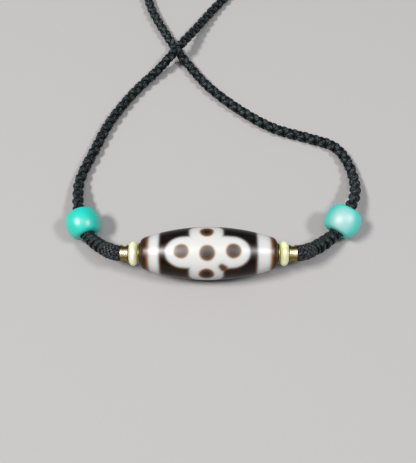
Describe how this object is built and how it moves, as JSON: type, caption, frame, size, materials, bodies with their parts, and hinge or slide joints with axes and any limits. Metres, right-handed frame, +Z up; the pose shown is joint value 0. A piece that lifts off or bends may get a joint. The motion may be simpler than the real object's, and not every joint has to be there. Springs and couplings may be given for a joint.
{
  "type": "dzi bead necklace",
  "caption": "Folk necklace: a long banded agate bead between thin washers, pale discs and gold spacers, turquoise drum beads on both sides, on a black braided cord loop.",
  "frame": {"origin": "middle of the box round the beads, on the surface that they lie on", "axes": "+X along the dzi bead towards the right turquoise bead, +Y from the dzi bead towards the back of the loop, +Z up from the surface"},
  "size_m": [0.0929, 0.2384, 0.0155],
  "materials": {
    "dzi_agate": "polished",
    "turquoise": "polished",
    "pale_glass": "polished",
    "brass": "satin",
    "gold": "polished",
    "black_cord": "braided",
    "black_thread": "wound"
  },
  "bodies": {
    "root": {"dzi_bead": "dzi_agate", "thread": "black_thread", "washer_left": "brass", "washer_right": "brass", "disc_bead_left": "pale_glass", "disc_bead_right": "pale_glass", "gold_spacer_left": "gold", "gold_spacer_right": "gold", "whipping_left": "black_thread", "whipping_right": "black_thread", "knot_left": "black_cord", "knot_right": "black_cord", "turquoise_bead_left": "turquoise", "turquoise_bead_right": "turquoise", "cord_left": "black_cord", "cord_right": "black_cord", "cord_back_left": "black_cord", "cord_back_right": "black_cord", "joining_sleeve": "black_thread"}
  },
  "joints": []
}
